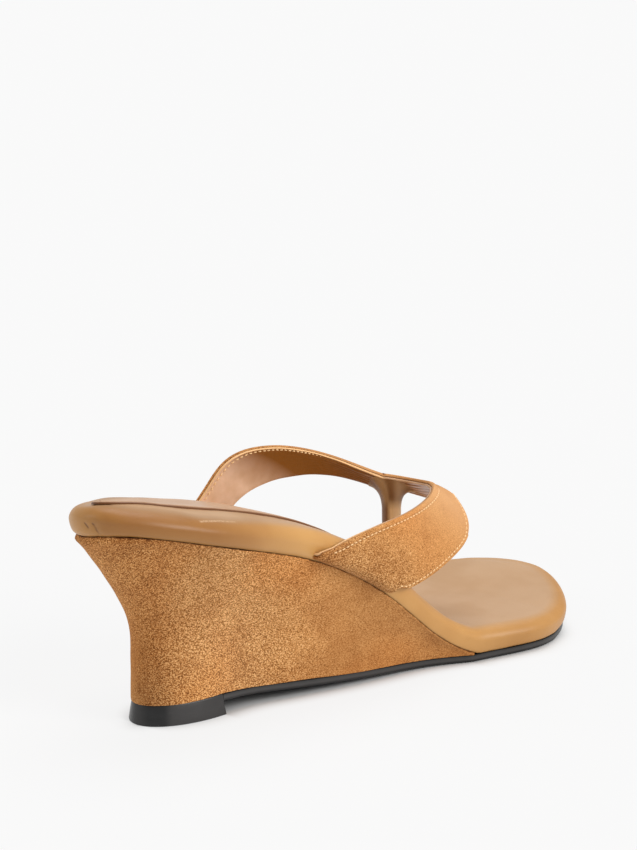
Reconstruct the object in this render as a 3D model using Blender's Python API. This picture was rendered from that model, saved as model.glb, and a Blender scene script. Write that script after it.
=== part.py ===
"""Toe post wedge sandal for the right foot, EU 38.

Axes: +Y to the toe, +X to the outer (lateral) side of the foot, +Z up.
The floor is Z = 0 and the origin is the middle of the top lift's tread.
Inside this file a place is worked out from the back of the heel and from the
heel's centre line, and is moved to the origin when a mesh is made.
"""

import bmesh
import bpy
import numpy as np

# Driving dimensions, in metres
FOOTBED_LENGTH = 0.245
BALL_WIDTH = 0.084
HEEL_RISE = 0.073
FOOTBED_THICKNESS = 0.010
FOOTBED_UNDERCUT = 0.0032
FOOTBED_ROLLOVER = 0.008
OUTSOLE_THICKNESS = 0.0028
OUTSOLE_INSET = 0.0012
STRAP_WALL = 0.0028
STRAP_RISE = 0.064
STRAP_TAIL = 0.008
SOCK_THICKNESS = 0.001
SOCK_INSET = 0.006
LIFT_HEIGHT = 0.0077
LIFT_EDGE = 0.0005
WEDGE_LIP = 0.0004
POST_DIAMETER = 0.0074
POST_FLARE_WIDTH = 0.0135
POST_FLARE_HEIGHT = 0.009
POST_LEAN_BACK = 0.002
POST_LEAN_OUT = 0.001
POST_SEAT_DEPTH = 0.006

# Sizes and places that are graded with the footbed's length
SOCK_LENGTH = 0.604 * FOOTBED_LENGTH
LIFT_LENGTH = 0.116 * FOOTBED_LENGTH
LIFT_BACK = 0.124 * FOOTBED_LENGTH
WEDGE_LENGTH = 0.678 * FOOTBED_LENGTH
BALL_MIDDLE = 0.75 * FOOTBED_LENGTH
POST_FROM_HEEL = 0.72 * FOOTBED_LENGTH

# Sizes and places that are graded with the ball's width
SOCK_WIDTH = 0.43 * BALL_WIDTH
LIFT_WIDTH = 0.345 * BALL_WIDTH
LIFT_OFFSET = -0.06 * BALL_WIDTH
POST_FROM_MIDDLE = -0.155 * BALL_WIDTH

# Clearances between pieces, in metres
CLEARANCE = 0.0003
STRAP_SIDE_CLEARANCE = 0.0006

# The footbed's outline, a row for each section. Columns: place along the
# footbed's length, half width on the outer side, half width on the inner side.
# Widths are shares of the ball width.
OUTLINE = (
    (0.00, 0.325, 0.325),
    (0.08, 0.330, 0.310),
    (0.17, 0.355, 0.351),
    (0.30, 0.355, 0.333),
    (0.42, 0.369, 0.328),
    (0.52, 0.406, 0.353),
    (0.62, 0.423, 0.408),
    (0.72, 0.479, 0.457),
    (0.82, 0.528, 0.475),
    (0.91, 0.444, 0.461),
    (1.00, 0.310, 0.413),
)
HEEL_ROUND = 0.181
TOE_ROUND = 0.122

# The footbed's sections from heel to toe. Columns: place along the length,
# height of the underside over the outsole as a share of the heel's rise,
# thickness as a share of the nominal thickness, undercut as a share of the
# greatest undercut.
FOOTBED_SECTION = (
    (0.00, 1.003, 0.95, 1.00),
    (0.10, 0.959, 0.84, 1.00),
    (0.20, 0.872, 0.98, 1.00),
    (0.30, 0.773, 1.12, 0.95),
    (0.40, 0.642, 1.24, 0.75),
    (0.50, 0.433, 1.30, 0.50),
    (0.60, 0.162, 1.14, 0.38),
    (0.70, -0.010, 0.96, 0.38),
    (0.80, -0.020, 0.88, 0.38),
    (0.90, 0.026, 0.86, 0.38),
    (1.00, 0.081, 0.85, 0.38),
)

# Rolled edge of the padded footbed, up from the underside. Columns: share of
# the undercut, share of the rollover, share of the thickness.
ROLLED_EDGE = (
    (1.00, 0.00, 0.00),
    (0.58, 0.00, 0.06),
    (0.22, 0.00, 0.22),
    (0.00, 0.00, 0.50),
    (0.00, 0.09, 0.70),
    (0.00, 0.28, 0.86),
    (0.00, 0.58, 0.96),
    (0.00, 1.00, 1.00),
)

# The wedge's wall from its top rim to its foot. Columns: share of the height
# down from the rim, share of the way in at the back, the same at the sides.
WEDGE_WALL = (
    (0.00, 0.00, 0.00),
    (0.12, 0.19, 0.16),
    (0.28, 0.48, 0.36),
    (0.43, 0.75, 0.52),
    (0.59, 0.95, 0.66),
    (0.72, 1.00, 0.77),
    (0.87, 1.00, 0.89),
    (1.00, 0.99, 1.00),
)

# Outline of the waist between the top lift and the ball. Columns: share of
# the way from the lift to the ball, share of the way out to the ball's edge.
WAIST = (
    (0.00, 0.000),
    (0.13, 0.026),
    (0.25, 0.150),
    (0.43, 0.350),
    (0.65, 0.540),
    (0.84, 0.700),
    (0.96, 0.910),
    (1.00, 1.000),
)
WAIST_CURVE_POWER = 1.3

# The strap's height over the footbed's underside. Columns: place along the
# footbed's length, share of the strap's rise.
STRAP_HEIGHT = (
    (0.306, 0.88),
    (0.408, 0.88),
    (0.510, 0.97),
    (0.612, 1.04),
    (0.714, 0.90),
    (0.816, 0.62),
)
ARCH_SIDE_POWER = 2.3
ARCH_TOP_POWER = 2.06
ARCH_START = 0.035

# The strap's edges. Columns: share of the girth from the inner side to the
# outer side, places of the rear edge and the front edge along the length.
STRAP_EDGES = (
    (0.00, 0.316, 0.387),
    (0.10, 0.367, 0.434),
    (0.22, 0.435, 0.542),
    (0.35, 0.622, 0.680),
    (0.48, 0.713, 0.770),
    (0.60, 0.678, 0.728),
    (0.72, 0.615, 0.700),
    (0.85, 0.502, 0.624),
    (1.00, 0.339, 0.493),
)

# The toe post from its seat to the strap. Columns: share of the height,
# share of the flare's spread.
POST_FLARE = (
    (0.00, 0.00),
    (0.30, 0.08),
    (0.60, 0.30),
    (0.80, 0.58),
    (1.00, 1.00),
)
POST_DEPTH_SHARE = 0.35
POST_ROOF_RINGS = (0.66, 0.33)

# Numbers of sections
FOOTBED_SECTIONS = 34
WEDGE_SECTIONS = 26
WAIST_SECTIONS = 10
SOCK_SECTIONS = 20
CAP_COLUMNS = 4
STRAP_SECTIONS = 44
STRAP_COLUMNS = 7
POST_SIDES = 16
POST_SHAFT_SECTIONS = 5


def smooth_curve(places, values):
    """Return a natural cubic curve through the values at the places."""
    places = np.array(places, float)
    values = np.array(values, float)
    steps = np.diff(places)
    count = len(places)
    matrix = np.eye(count)
    sums = np.zeros(count)
    slopes = np.diff(values) / steps
    for i in range(1, count - 1):
        matrix[i, i - 1:i + 2] = steps[i - 1], 2 * (steps[i - 1] + steps[i]), steps[i]
        sums[i] = 6 * (slopes[i] - slopes[i - 1])
    bends = np.linalg.solve(matrix, sums)

    def at(place):
        place = np.clip(np.asarray(place, float), places[0], places[-1])
        i = np.clip(np.searchsorted(places, place) - 1, 0, count - 2)
        step = steps[i]
        before = (places[i + 1] - place) / step
        after = (place - places[i]) / step
        straight = before * values[i] + after * values[i + 1]
        bend = (before**3 - before) * bends[i] + (after**3 - after) * bends[i + 1]
        return straight + bend * step**2 / 6

    return at


def column_curve(table, column):
    """Return the smooth curve of one column of a table over its first column."""
    return smooth_curve([row[0] for row in table], [row[column] for row in table])


OUTER_HALF = column_curve(OUTLINE, 1)
INNER_HALF = column_curve(OUTLINE, 2)
RISE_CURVE = column_curve(FOOTBED_SECTION, 1)
THICKNESS_CURVE = column_curve(FOOTBED_SECTION, 2)
UNDERCUT_CURVE = column_curve(FOOTBED_SECTION, 3)
WAIST_CURVE = column_curve(WAIST, 1)
STRAP_HEIGHT_CURVE = column_curve(STRAP_HEIGHT, 1)
REAR_EDGE = column_curve(STRAP_EDGES, 1)
FRONT_EDGE = column_curve(STRAP_EDGES, 2)

LIFT_FRONT = LIFT_BACK + LIFT_LENGTH
ORIGIN = np.array([LIFT_OFFSET, LIFT_BACK + LIFT_LENGTH / 2, 0.0])
GROUND_GAP = OUTSOLE_THICKNESS + CLEARANCE
WAIST_RISE = LIFT_HEIGHT - OUTSOLE_THICKNESS


def end_rounding(share):
    """Share of the full width left by the round heel and the round toe."""
    from_heel = np.clip(1 - share / HEEL_ROUND, 0, 1)
    from_toe = np.clip(1 - (1 - share) / TOE_ROUND, 0, 1)
    return np.sqrt(1 - from_heel**2) * np.sqrt(1 - from_toe**2)


def rim(y, side):
    """X of the footbed's widest line at y, on the outer (1) or inner (-1) side."""
    share = np.asarray(y) / FOOTBED_LENGTH
    half = OUTER_HALF(share) if side > 0 else INNER_HALF(share)
    return side * BALL_WIDTH * half * end_rounding(share)


def seat_height(y):
    """Height of the footbed's underside."""
    share = np.asarray(y) / FOOTBED_LENGTH
    return GROUND_GAP + HEEL_RISE * np.maximum(RISE_CURVE(share), 0)


def bed_height(y):
    """Height of the footbed's upper face."""
    share = np.asarray(y) / FOOTBED_LENGTH
    return seat_height(y) + FOOTBED_THICKNESS * THICKNESS_CURVE(share)


def undercut(y):
    """How far the footbed's seam lies in from its widest line."""
    return FOOTBED_UNDERCUT * UNDERCUT_CURVE(np.asarray(y) / FOOTBED_LENGTH)


def tread_top(y):
    """Height of the outsole's upper face, which the wedge stands on."""
    y = np.asarray(y, float)
    along = np.clip((y - LIFT_FRONT) / (WEDGE_LENGTH - LIFT_FRONT), 0, 1)
    waist = WAIST_RISE * (1 - along)**WAIST_CURVE_POWER
    toe = seat_height(y) - GROUND_GAP
    return OUTSOLE_THICKNESS + np.where(y < BALL_MIDDLE, waist, toe)


def stations(first, last, count, round_start, round_end):
    """Places from first to last, set closer together at each round end."""
    if not (round_start or round_end):
        return np.linspace(first, last, count + 1)
    turn_start = 0.0 if round_start else np.pi / 2
    turn_end = np.pi if round_end else np.pi / 2
    wave = np.cos(np.linspace(turn_start, turn_end, count + 1))
    return first + (last - first) * (wave[0] - wave) / (wave[0] - wave[-1])


def outline_pairs(outer_x, inner_x, y):
    """Rows of a plan outline: points (outer or inner side, station, x and y)."""
    return np.array([np.stack([outer_x, y], -1), np.stack([inner_x, y], -1)])


def inset_pairs(pairs, distance):
    """Move a plan outline inwards, square to its edge."""
    along = np.gradient(pairs, axis=1)
    along /= np.linalg.norm(along, axis=2, keepdims=True)
    inward = np.stack([-along[..., 1], along[..., 0]], -1)
    inward[1] *= -1
    for end, direction in ((0, 1.0), (-1, -1.0)):
        if np.allclose(pairs[0, end], pairs[1, end]):
            inward[:, end] = (0.0, direction)
    return pairs + inward * np.reshape(distance, (1, -1, 1))


def new_object(name, points, faces, colour, roughness):
    """Make a closed, smooth-shaded object with its own material."""
    mesh = bpy.data.meshes.new(name)
    mesh.from_pydata([tuple(point - ORIGIN) for point in points], [], faces)
    work = bmesh.new()
    work.from_mesh(mesh)
    bmesh.ops.remove_doubles(work, verts=work.verts, dist=1e-6)
    bmesh.ops.recalc_face_normals(work, faces=work.faces)
    work.to_mesh(mesh)
    work.free()
    mesh.shade_smooth()
    mesh.set_sharp_from_angle(angle=np.radians(35))
    piece = bpy.data.objects.new(name, mesh)
    bpy.context.scene.collection.objects.link(piece)
    material = bpy.data.materials.new(name)
    material.use_nodes = True
    shader = material.node_tree.nodes["Principled BSDF"]
    shader.inputs["Base Color"].default_value = (*colour, 1.0)
    shader.inputs["Roughness"].default_value = roughness
    mesh.materials.append(material)
    return piece


def ring_points(pairs, heights):
    """A closed ring: the outer side from the back, then the inner side back."""
    points = np.concatenate([pairs, heights[..., None]], axis=2)
    return np.vstack([points[0], points[1, ::-1]])


def layered_solid(name, rings, colour, roughness):
    """Join rings of equal length by walls and close both ends with rungs."""
    points = list(rings)
    ring_size = len(rings[0])
    half = ring_size // 2
    faces = []
    for level in range(len(rings) - 1):
        base = level * ring_size
        for i in range(ring_size):
            j = (i + 1) % ring_size
            faces.append((base + i, base + j, base + ring_size + j, base + ring_size + i))
    start = ring_size * len(rings)
    shares = np.linspace(0, 1, CAP_COLUMNS + 2)[1:-1, None]
    for ring, base in ((rings[0], 0), (rings[-1], ring_size * (len(rings) - 1))):
        rows = []
        for station in range(half):
            outer = ring[station]
            inner = ring[ring_size - 1 - station]
            middle = []
            if 0 < station < half - 1:
                points.append(outer + (inner - outer) * shares)
                middle = [start + k for k in range(CAP_COLUMNS)]
                start += CAP_COLUMNS
            rows.append([base + station] + middle + [base + ring_size - 1 - station])
        for row, following in zip(rows, rows[1:]):
            if len(row) == len(following):
                for k in range(CAP_COLUMNS + 1):
                    faces.append((row[k], row[k + 1], following[k + 1], following[k]))
            else:
                faces.append(tuple(row + following[::-1]))
    return new_object(name, np.vstack(points), faces, colour, roughness)


def footbed_pairs(y):
    """The footbed's widest outline at the stations."""
    return outline_pairs(rim(y, 1), rim(y, -1), y)


def make_footbed():
    """The padded, leather-wrapped insole board."""
    y = stations(0, FOOTBED_LENGTH, FOOTBED_SECTIONS, True, True)
    pairs = footbed_pairs(y)
    rings = []
    for under, over, up in ROLLED_EDGE:
        ring = inset_pairs(pairs, under * undercut(y) + over * FOOTBED_ROLLOVER)
        low = seat_height(ring[..., 1])
        high = bed_height(ring[..., 1])
        rings.append(ring_points(ring, low + up * (high - low)))
    return layered_solid("footbed", rings, (0.60, 0.33, 0.15), 0.45)


def make_sock():
    """The thin sock glued on the heel and arch of the footbed."""
    y = stations(0, SOCK_LENGTH, SOCK_SECTIONS, True, False)
    pairs = inset_pairs(footbed_pairs(y), SOCK_INSET)
    full_width = np.max(pairs[0, :, 0] - pairs[1, :, 0])
    pairs[..., 0] *= SOCK_WIDTH / full_width
    underside = bed_height(pairs[..., 1]) + CLEARANCE
    rings = [ring_points(pairs, underside), ring_points(pairs, underside + SOCK_THICKNESS)]
    return layered_solid("sock", rings, (0.66, 0.40, 0.25), 0.45)


def lift_edge(y, side):
    """X of the top lift's edge: a horseshoe, round at the back."""
    from_back = np.clip(1 - (np.asarray(y) - LIFT_BACK) / LIFT_LENGTH, 0, 1)
    return LIFT_OFFSET + side * LIFT_WIDTH / 2 * np.sqrt(1 - from_back**2)


def foot_edge(y, side):
    """X of the wedge's foot, which is the edge of the lift and of the waist."""
    y = np.asarray(y, float)
    along = np.clip((y - LIFT_FRONT) / (WEDGE_LENGTH - LIFT_FRONT), 0, 1)
    ball = rim(WEDGE_LENGTH, side) - side * OUTSOLE_INSET
    start = LIFT_OFFSET + side * LIFT_WIDTH / 2
    return np.where(y < LIFT_FRONT, lift_edge(y, side), start + (ball - start) * WAIST_CURVE(along))


def make_wedge():
    """The covered wedge block between the footbed and the tread."""
    share = stations(0, 1, WEDGE_SECTIONS, True, False)
    top_y = WEDGE_LENGTH * share
    foot_y = LIFT_BACK + (WEDGE_LENGTH - LIFT_BACK) * share
    top = inset_pairs(footbed_pairs(top_y), undercut(top_y) - WEDGE_LIP)
    foot = outline_pairs(foot_edge(foot_y, 1), foot_edge(foot_y, -1), foot_y)
    top_heights = seat_height(top[..., 1]) - CLEARANCE
    foot_heights = tread_top(foot[..., 1]) + CLEARANCE
    rings = []
    for down, in_back, in_side in WEDGE_WALL:
        blend = in_back + (in_side - in_back) * share
        pairs = top + (foot - top) * blend[None, :, None]
        heights = top_heights + (foot_heights - top_heights) * down
        rings.append(ring_points(pairs, heights))
    return layered_solid("wedge", rings, (0.58, 0.30, 0.11), 0.9)


def make_top_lift():
    """The rubber tip under the back of the wedge."""
    y = stations(LIFT_BACK, LIFT_FRONT - CLEARANCE, WAIST_SECTIONS, True, False)
    pairs = outline_pairs(lift_edge(y, 1), lift_edge(y, -1), y)
    flat = np.zeros((2, len(y)))
    rings = [
        ring_points(inset_pairs(pairs, LIFT_EDGE), flat),
        ring_points(pairs, flat + LIFT_EDGE),
        ring_points(pairs, flat + LIFT_HEIGHT),
    ]
    return layered_solid("top_lift", rings, (0.02, 0.02, 0.02), 0.35)


def make_outsole():
    """The thin sole from the top lift to the toe, flat under the ball."""
    waist_y = stations(LIFT_FRONT, WEDGE_LENGTH, WAIST_SECTIONS, False, False)[:-1]
    waist = outline_pairs(foot_edge(waist_y, 1), foot_edge(waist_y, -1), waist_y)
    fore_y = stations(WEDGE_LENGTH, FOOTBED_LENGTH, FOOTBED_SECTIONS // 2, False, True)
    fore = inset_pairs(footbed_pairs(fore_y), OUTSOLE_INSET)
    pairs = np.concatenate([waist, fore], axis=1)
    underside = tread_top(pairs[..., 1]) - OUTSOLE_THICKNESS
    rings = [
        ring_points(inset_pairs(pairs, LIFT_EDGE), underside),
        ring_points(pairs, underside + LIFT_EDGE),
        ring_points(pairs, underside + OUTSOLE_THICKNESS),
    ]
    return layered_solid("outsole", rings, (0.03, 0.03, 0.03), 0.5)


def arch_at(y):
    """Centre, half width and height of the strap's inner face at y."""
    outer = rim(y, 1) + STRAP_SIDE_CLEARANCE
    inner = rim(y, -1) - STRAP_SIDE_CLEARANCE
    height = STRAP_RISE * STRAP_HEIGHT_CURVE(np.asarray(y) / FOOTBED_LENGTH)
    return (outer + inner) / 2, (outer - inner) / 2, height


def arch_point(girth, y):
    """A point of the strap's inner face, 0 at the inner side to 1 at the outer."""
    centre, half, height = arch_at(y)
    turn = np.pi * (1 - girth)
    across = np.sign(np.cos(turn)) * np.abs(np.cos(turn))**(2 / ARCH_SIDE_POWER)
    up = np.abs(np.sin(turn))**(2 / ARCH_TOP_POWER)
    return np.stack([centre + half * across, y, seat_height(y) + height * up], -1)


def arch_height(x, y):
    """Height of the strap's inner face over a place in plan."""
    centre, half, height = arch_at(y)
    across = np.clip(np.abs((x - centre) / half), 0, 1)
    return seat_height(y) + height * (1 - across**ARCH_SIDE_POWER)**(1 / ARCH_TOP_POWER)


def strap_stations(girth, column):
    """Places along the length from the rear edge (0) to the front edge (1)."""
    rear = FOOTBED_LENGTH * REAR_EDGE(girth)
    front = FOOTBED_LENGTH * FRONT_EDGE(girth)
    return rear + (front - rear) * column


def strap_tail(side, y, out, up):
    """A row of the strap's tail, out from the rim and up from the seat."""
    x = rim(y, side) + side * out
    return np.stack([x, y, seat_height(y) + up], -1)


def make_strap():
    """The upper: one V-shaped band whose tails go under the footbed."""
    columns = np.linspace(0, 1, STRAP_COLUMNS)
    wall = STRAP_WALL
    out = STRAP_SIDE_CLEARANCE
    # Tail rows from the end of the tail to the side wall. Columns: out from
    # the rim and up from the seat, for the inner face and then the outer face,
    # and the share of the way that the edges have gone to the arch's first row.
    tail = (
        (-STRAP_TAIL, wall, -STRAP_TAIL, 0.0, 0.0),
        (-STRAP_TAIL / 2, wall, -STRAP_TAIL / 2, 0.0, 0.0),
        (out - 0.10 * wall, wall, out - 0.10 * wall, 0.0, 0.0),
        (out, 1.10 * wall, out + 0.60 * wall, 0.20 * wall, 0.25),
        (out, 1.35 * wall, out + 0.95 * wall, 0.65 * wall, 0.50),
    )
    girths = np.linspace(ARCH_START, 1 - ARCH_START, STRAP_SECTIONS)
    y = np.array([strap_stations(girth, columns) for girth in girths])
    arch = arch_point(girths[:, None], y)
    along = np.gradient(arch, axis=0)
    across = np.gradient(arch, axis=1)
    outward = np.cross(along, across)
    outward /= np.linalg.norm(outward, axis=2, keepdims=True)
    outer_arch = arch + wall * outward
    inner_rows = list(arch)
    outer_rows = list(outer_arch)
    for side in (-1, 1):
        end_y = strap_stations(0.0 if side < 0 else 1.0, columns)
        arch_y = y[0] if side < 0 else y[-1]
        inner = [strap_tail(side, end_y + (arch_y - end_y) * row[4], row[0], row[1]) for row in tail]
        outer = [strap_tail(side, end_y + (arch_y - end_y) * row[4], row[2], row[3]) for row in tail]
        if side < 0:
            inner_rows = inner + inner_rows
            outer_rows = outer + outer_rows
        else:
            inner_rows = inner_rows + inner[::-1]
            outer_rows = outer_rows + outer[::-1]
    return closed_band("strap", np.array(inner_rows), np.array(outer_rows))


def closed_band(name, inner, outer):
    """Close the space between two grids of points of the same size."""
    rows, columns, _ = inner.shape
    points = np.vstack([inner.reshape(-1, 3), outer.reshape(-1, 3)])
    shift = rows * columns

    def index(row, column, layer):
        return layer * shift + row * columns + column

    faces = []
    for i in range(rows - 1):
        for j in range(columns - 1):
            for layer in (0, 1):
                faces.append((index(i, j, layer), index(i + 1, j, layer),
                              index(i + 1, j + 1, layer), index(i, j + 1, layer)))
        for j in (0, columns - 1):
            faces.append((index(i, j, 0), index(i + 1, j, 0), index(i + 1, j, 1), index(i, j, 1)))
    for j in range(columns - 1):
        for i in (0, rows - 1):
            faces.append((index(i, j, 0), index(i, j + 1, 0), index(i, j + 1, 1), index(i, j, 1)))
    return new_object(name, points, faces, (0.60, 0.31, 0.12), 0.85)


def make_toe_post():
    """The rolled post, from its seat in the footbed to its flare under the strap."""
    base = np.array([POST_FROM_MIDDLE, POST_FROM_HEEL])
    top = base + np.array([POST_LEAN_OUT, -POST_LEAN_BACK])
    bed = bed_height(base[1])
    bottom = bed - POST_SEAT_DEPTH + CLEARANCE
    radius = POST_DIAMETER / 2
    spread = POST_FLARE_WIDTH / 2 - radius
    turns = np.linspace(0, 2 * np.pi, POST_SIDES, endpoint=False)
    circle = np.stack([np.cos(turns), np.sin(turns)], -1)
    under = arch_height(top[0], top[1]) - CLEARANCE
    flare_start = under - POST_FLARE_HEIGHT
    rings = [np.column_stack([base + radius * circle, np.full(POST_SIDES, bottom)])]
    for share in np.linspace(0, 1, POST_SHAFT_SECTIONS):
        middle = base + (top - base) * share
        height = bed + (flare_start - bed) * share
        rings.append(np.column_stack([middle + radius * circle, np.full(POST_SIDES, height)]))
    for share, flare in POST_FLARE[1:]:
        reach = radius + spread * flare * np.array([1.0, POST_DEPTH_SHARE])
        plan = top + reach * circle
        roof = arch_height(plan[:, 0], plan[:, 1]) - CLEARANCE
        height = flare_start + (roof - flare_start) * share
        rings.append(np.column_stack([plan, height]))
    flare_edge = rings[-1][:, :2]
    for share in POST_ROOF_RINGS:
        plan = top + (flare_edge - top) * share
        roof = arch_height(plan[:, 0], plan[:, 1]) - CLEARANCE
        rings.append(np.column_stack([plan, roof]))
    points = np.vstack(rings + [[[*base, bottom]], [[*top, under]]])
    faces = []
    last = len(rings) - 1
    for i in range(POST_SIDES):
        j = (i + 1) % POST_SIDES
        for level in range(last):
            low = level * POST_SIDES
            high = low + POST_SIDES
            faces.append((low + i, low + j, high + j, high + i))
        faces.append((i, j, len(points) - 2))
        faces.append((last * POST_SIDES + i, last * POST_SIDES + j, len(points) - 1))
    return new_object("toe_post", points, faces, (0.45, 0.25, 0.11), 0.45)


def cut(piece, name, points, faces):
    """Cut a closed shape out of a piece."""
    cutter = new_object(name, points, faces, (0.5, 0.5, 0.5), 0.5)
    cutter.hide_render = True
    cutter.display_type = "WIRE"
    boolean = piece.modifiers.new(name, "BOOLEAN")
    boolean.operation = "DIFFERENCE"
    boolean.solver = "EXACT"
    boolean.object = cutter


def cut_strap_pocket(footbed, side):
    """Cut the room for one strap tail in the footbed's underside."""
    girth = 0.0 if side < 0 else 1.0
    ends = strap_stations(girth, np.array([0.0, 1.0]))
    y = np.linspace(ends[0] - CLEARANCE, ends[1] + CLEARANCE, 2 * STRAP_COLUMNS)
    reach_in = -STRAP_TAIL - CLEARANCE
    reach_out = 2 * STRAP_WALL
    roof = STRAP_WALL + CLEARANCE
    corners = ((reach_in, -STRAP_WALL), (reach_out, -STRAP_WALL), (reach_out, roof), (reach_in, roof))
    rows = np.array([strap_tail(side, y, out, up) for out, up in corners])
    count = len(y)
    faces = [tuple(k * count for k in range(4)), tuple(k * count + count - 1 for k in range(4))]
    for k in range(4):
        following = (k + 1) % 4
        for i in range(count - 1):
            near = k * count + i
            far = following * count + i
            faces.append((near, near + 1, far + 1, far))
    cutter_name = "pocket_cut_outer" if side > 0 else "pocket_cut_inner"
    cut(footbed, cutter_name, rows.reshape(-1, 3), faces)


def cut_post_seat(footbed):
    """Cut the round seat of the toe post in the footbed's upper face."""
    bed = bed_height(POST_FROM_HEEL)
    radius = POST_DIAMETER / 2 + CLEARANCE
    turns = np.linspace(0, 2 * np.pi, POST_SIDES, endpoint=False)
    circle = np.stack([np.cos(turns), np.sin(turns)], -1)
    plan = np.array([POST_FROM_MIDDLE, POST_FROM_HEEL]) + radius * circle
    low = np.column_stack([plan, np.full(POST_SIDES, bed - POST_SEAT_DEPTH)])
    high = np.column_stack([plan, np.full(POST_SIDES, bed + FOOTBED_THICKNESS)])
    faces = [tuple(range(POST_SIDES)), tuple(range(POST_SIDES, 2 * POST_SIDES))]
    for i in range(POST_SIDES):
        j = (i + 1) % POST_SIDES
        faces.append((i, j, POST_SIDES + j, POST_SIDES + i))
    cut(footbed, "post_seat_cut", np.vstack([low, high]), faces)


def main():
    for piece in list(bpy.data.objects):
        bpy.data.objects.remove(piece, do_unlink=True)
    make_outsole()
    make_top_lift()
    make_wedge()
    footbed = make_footbed()
    cut_strap_pocket(footbed, 1)
    cut_strap_pocket(footbed, -1)
    cut_post_seat(footbed)
    make_sock()
    make_strap()
    make_toe_post()


main()
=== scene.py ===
"""Looks of the toe post wedge sandal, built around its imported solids.

Suede wedge and strap, smooth leather wrap, sock, lining and toe post, thread
and black rubber. Places are worked out from the back of the heel and the
heel's centre line, in metres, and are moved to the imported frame's origin when
a piece is made: +Y to the toe, +X to the outer side, +Z up.
"""

import bmesh
import bpy
import numpy as np
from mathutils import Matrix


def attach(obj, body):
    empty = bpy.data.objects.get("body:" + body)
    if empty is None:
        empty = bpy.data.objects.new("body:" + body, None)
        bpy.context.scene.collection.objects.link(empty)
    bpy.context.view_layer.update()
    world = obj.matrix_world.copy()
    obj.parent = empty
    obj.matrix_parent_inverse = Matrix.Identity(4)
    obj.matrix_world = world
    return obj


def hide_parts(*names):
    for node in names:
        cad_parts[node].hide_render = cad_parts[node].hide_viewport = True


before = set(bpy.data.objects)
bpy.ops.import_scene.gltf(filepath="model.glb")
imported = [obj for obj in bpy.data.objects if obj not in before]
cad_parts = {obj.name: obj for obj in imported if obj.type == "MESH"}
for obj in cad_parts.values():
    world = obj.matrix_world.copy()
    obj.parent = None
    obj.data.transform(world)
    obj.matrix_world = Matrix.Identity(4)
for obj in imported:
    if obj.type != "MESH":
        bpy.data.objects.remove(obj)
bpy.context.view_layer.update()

MM = 0.001

# Sizes of the solids, as in the part
FOOTBED_LENGTH = 0.245
BALL_WIDTH = 0.084
HEEL_RISE = 0.073
FOOTBED_THICKNESS = 0.010
FOOTBED_UNDERCUT = 0.0032
FOOTBED_ROLLOVER = 0.008
OUTSOLE_THICKNESS = 0.0028
OUTSOLE_INSET = 0.0012
STRAP_WALL = 0.0028
STRAP_RISE = 0.064
SOCK_THICKNESS = 0.001
SOCK_INSET = 0.006
LIFT_HEIGHT = 0.0077
WEDGE_LIP = 0.0004
POST_DIAMETER = 0.0074
POST_FLARE_WIDTH = 0.0135
POST_FLARE_HEIGHT = 0.009
POST_LEAN_BACK = 0.002
POST_LEAN_OUT = 0.001
CLEARANCE = 0.0003
STRAP_SIDE_CLEARANCE = 0.0006
SOCK_LENGTH = 0.604 * FOOTBED_LENGTH
LIFT_LENGTH = 0.116 * FOOTBED_LENGTH
LIFT_BACK = 0.124 * FOOTBED_LENGTH
WEDGE_LENGTH = 0.678 * FOOTBED_LENGTH
BALL_MIDDLE = 0.75 * FOOTBED_LENGTH
POST_FROM_HEEL = 0.72 * FOOTBED_LENGTH
SOCK_WIDTH = 0.43 * BALL_WIDTH
LIFT_WIDTH = 0.345 * BALL_WIDTH
LIFT_OFFSET = -0.06 * BALL_WIDTH
POST_FROM_MIDDLE = -0.155 * BALL_WIDTH
HEEL_ROUND = 0.181
TOE_ROUND = 0.122
WAIST_CURVE_POWER = 1.3
ARCH_SIDE_POWER = 2.3
ARCH_TOP_POWER = 2.06
ARCH_START = 0.035
LIFT_FRONT = LIFT_BACK + LIFT_LENGTH
ORIGIN = np.array([LIFT_OFFSET, LIFT_BACK + LIFT_LENGTH / 2, 0.0])
GROUND_GAP = OUTSOLE_THICKNESS + CLEARANCE
WAIST_RISE = LIFT_HEIGHT - OUTSOLE_THICKNESS

# Place along the footbed, half widths on the outer and the inner side
OUTLINE = (
    (0.00, 0.325, 0.325),
    (0.08, 0.330, 0.310),
    (0.17, 0.355, 0.351),
    (0.30, 0.355, 0.333),
    (0.42, 0.369, 0.328),
    (0.52, 0.406, 0.353),
    (0.62, 0.423, 0.408),
    (0.72, 0.479, 0.457),
    (0.82, 0.528, 0.475),
    (0.91, 0.444, 0.461),
    (1.00, 0.310, 0.413),
)

# Place along the footbed, rise of its underside, thickness, undercut
FOOTBED_SECTION = (
    (0.00, 1.003, 0.95, 1.00),
    (0.10, 0.959, 0.84, 1.00),
    (0.20, 0.872, 0.98, 1.00),
    (0.30, 0.773, 1.12, 0.95),
    (0.40, 0.642, 1.24, 0.75),
    (0.50, 0.433, 1.30, 0.50),
    (0.60, 0.162, 1.14, 0.38),
    (0.70, -0.010, 0.96, 0.38),
    (0.80, -0.020, 0.88, 0.38),
    (0.90, 0.026, 0.86, 0.38),
    (1.00, 0.081, 0.85, 0.38),
)

# Share of the way up the rolled edge, undercut, rollover, thickness
ROLLED_EDGE = (
    (0.00, 1.00, 0.00, 0.00),
    (0.10, 0.58, 0.00, 0.06),
    (0.24, 0.22, 0.00, 0.22),
    (0.42, 0.00, 0.00, 0.50),
    (0.56, 0.00, 0.09, 0.70),
    (0.69, 0.00, 0.28, 0.86),
    (0.84, 0.00, 0.58, 0.96),
    (1.00, 0.00, 1.00, 1.00),
)

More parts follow.
